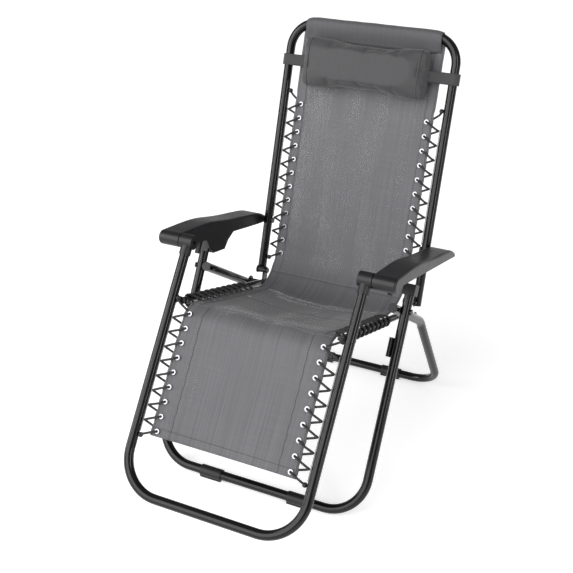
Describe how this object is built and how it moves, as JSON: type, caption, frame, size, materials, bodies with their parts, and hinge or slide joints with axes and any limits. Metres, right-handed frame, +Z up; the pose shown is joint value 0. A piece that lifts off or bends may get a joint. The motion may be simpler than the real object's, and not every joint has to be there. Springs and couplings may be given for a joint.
{
  "type": "zero gravity recliner",
  "caption": "Folding lounge chair with a laced mesh sling, armrests that lock the reclining parallelogram, a rising footrest and a sliding head pillow.",
  "frame": {"origin": "on the floor under the middle of the upright chair's box", "axes": "+Z up; the sitter faces -Y; +X is the sitter's left; the chair is symmetric across the plane x = 0"},
  "size_m": [0.652, 1.0127, 1.1002],
  "materials": {
    "painted_steel": "gloss black powder coat",
    "black_plastic": "satin moulded plastic",
    "nylon": "plain nylon",
    "lever_plastic": "satin moulded plastic",
    "black_steel": "blackened steel",
    "sling_mesh": "grey woven mesh",
    "eyelet_steel": "bright plated steel",
    "elastic_cord": "black braided elastic",
    "wire_steel": "plain steel wire",
    "pillow_cloth": "grey woven mesh over foam",
    "strap_webbing": "black elastic webbing"
  },
  "bodies": {
    "root": {"front_leg_frame": "painted_steel", "front_foot_sleeves": "black_plastic", "leg_pivot_bolts": "black_steel", "leg_pivot_washers": "nylon", "leg_top_plugs": "black_plastic", "lock_blocks": "black_plastic", "seat_stop_posts": "painted_steel", "stop_post_caps": "black_plastic"},
    "rear_legs": {"rear_leg_frame": "painted_steel", "rear_foot_sleeves": "black_plastic", "rear_leg_plugs": "black_plastic", "rear_leg_brackets": "painted_steel"},
    "seat_carriers": {"seat_pivot_bolts": "black_steel", "seat_pivot_spacers": "nylon"},
    "seat": {"seat_rail_left": "painted_steel", "seat_rail_right": "painted_steel", "rail_end_caps": "black_plastic", "seat_rear_tabs": "painted_steel", "sling_seat": "sling_mesh", "seat_eyelets": "eyelet_steel", "seat_lacing_left": "elastic_cord", "seat_lacing_right": "elastic_cord"},
    "back_carriers": {"back_pivot_bolts": "black_steel", "back_pivot_spacers": "nylon"},
    "back": {"back_frame": "painted_steel", "back_frame_plugs": "black_plastic", "back_brackets": "painted_steel", "sling_back": "sling_mesh", "back_eyelets": "eyelet_steel", "back_lacing_left": "elastic_cord", "back_lacing_right": "elastic_cord", "back_lacing_wires": "wire_steel"},
    "footrest_carriers": {"footrest_pivot_bolts": "black_steel", "footrest_pivot_spacers": "nylon"},
    "footrest": {"footrest_frame": "painted_steel", "footrest_brackets": "painted_steel", "footrest_knuckles": "black_plastic", "sling_calf": "sling_mesh", "calf_eyelets": "eyelet_steel", "calf_lacing_left": "elastic_cord", "calf_lacing_right": "elastic_cord", "calf_lacing_wires": "wire_steel"},
    "armrest_carriers": {"armrest_pivot_bolts": "black_steel", "armrest_pivot_spacers": "nylon"},
    "armrests": {"left_armrest": "black_plastic", "right_armrest": "black_plastic", "lock_rails": "black_steel", "armrest_pivot_pins": "black_steel", "armrest_screws": "black_steel", "lever_pins": "black_steel"},
    "left_lever": {"lever_left": "lever_plastic"},
    "right_lever": {"lever_right": "lever_plastic"},
    "head_pillow": {"pillow": "pillow_cloth", "pillow_straps": "strap_webbing"}
  },
  "joints": [
    {"name": "leg_fold", "type": "hinge", "parent": "root", "child": "rear_legs", "pos_m": [0, 0.02356, 0.49], "axis": [-1, 0, 0], "range_deg": [0, 63]},
    {"name": "seat_fold", "type": "hinge", "parent": "rear_legs", "child": "seat_carriers", "pos_m": [0, 0.235, 0.364], "axis": [-1, 0, 0], "range_deg": [0, 26]},
    {"name": "seat_tilt", "type": "hinge", "parent": "seat_carriers", "child": "seat", "pos_m": [0, 0.235, 0.364], "axis": [-1, 0, 0], "range_deg": [0, 9]},
    {"name": "back_fold", "type": "hinge", "parent": "seat", "child": "back_carriers", "pos_m": [0, 0.263, 0.394], "axis": [-1, 0, 0], "range_deg": [-86, 0]},
    {"name": "recline", "type": "hinge", "parent": "back_carriers", "child": "back", "pos_m": [0, 0.263, 0.394], "axis": [-1, 0, 0], "range_deg": [0, 38]},
    {"name": "footrest_fold", "type": "hinge", "parent": "seat", "child": "footrest_carriers", "pos_m": [0, -0.193, 0.498], "axis": [-1, 0, 0], "range_deg": [-86, 0]},
    {"name": "footrest_raise", "type": "hinge", "parent": "footrest_carriers", "child": "footrest", "pos_m": [0, -0.193, 0.498], "axis": [-1, 0, 0], "range_deg": [0, 38]},
    {"name": "armrest_fold", "type": "hinge", "parent": "back", "child": "armrest_carriers", "pos_m": [0, 0.329, 0.528], "axis": [-1, 0, 0], "range_deg": [0, 86]},
    {"name": "armrest_tilt", "type": "hinge", "parent": "armrest_carriers", "child": "armrests", "pos_m": [0, 0.329, 0.528], "axis": [-1, 0, 0], "range_deg": [-38, 0]},
    {"name": "left_lock_lever", "type": "hinge", "parent": "armrests", "child": "left_lever", "pos_m": [0.2755, -0.01529, 0.59114], "axis": [-1, 0, 0], "range_deg": [0, 25]},
    {"name": "right_lock_lever", "type": "hinge", "parent": "armrests", "child": "right_lever", "pos_m": [-0.2755, -0.01529, 0.59114], "axis": [-1, 0, 0], "range_deg": [0, 25]},
    {"name": "pillow_slide", "type": "slide", "parent": "back", "child": "head_pillow", "axis": [0, -0.2797, -0.9601], "range_m": [0, 0.15]}
  ],
  "couplings": [
    {"joint": "seat_fold", "follows": "leg_fold", "ratio": 0.4127},
    {"joint": "back_fold", "follows": "leg_fold", "ratio": -1.3651},
    {"joint": "footrest_fold", "follows": "leg_fold", "ratio": -1.3651},
    {"joint": "armrest_fold", "follows": "leg_fold", "ratio": 1.3651},
    {"joint": "seat_tilt", "follows": "recline", "ratio": 0.23684},
    {"joint": "footrest_raise", "follows": "recline", "ratio": 1},
    {"joint": "armrest_tilt", "follows": "recline", "ratio": -1}
  ]
}
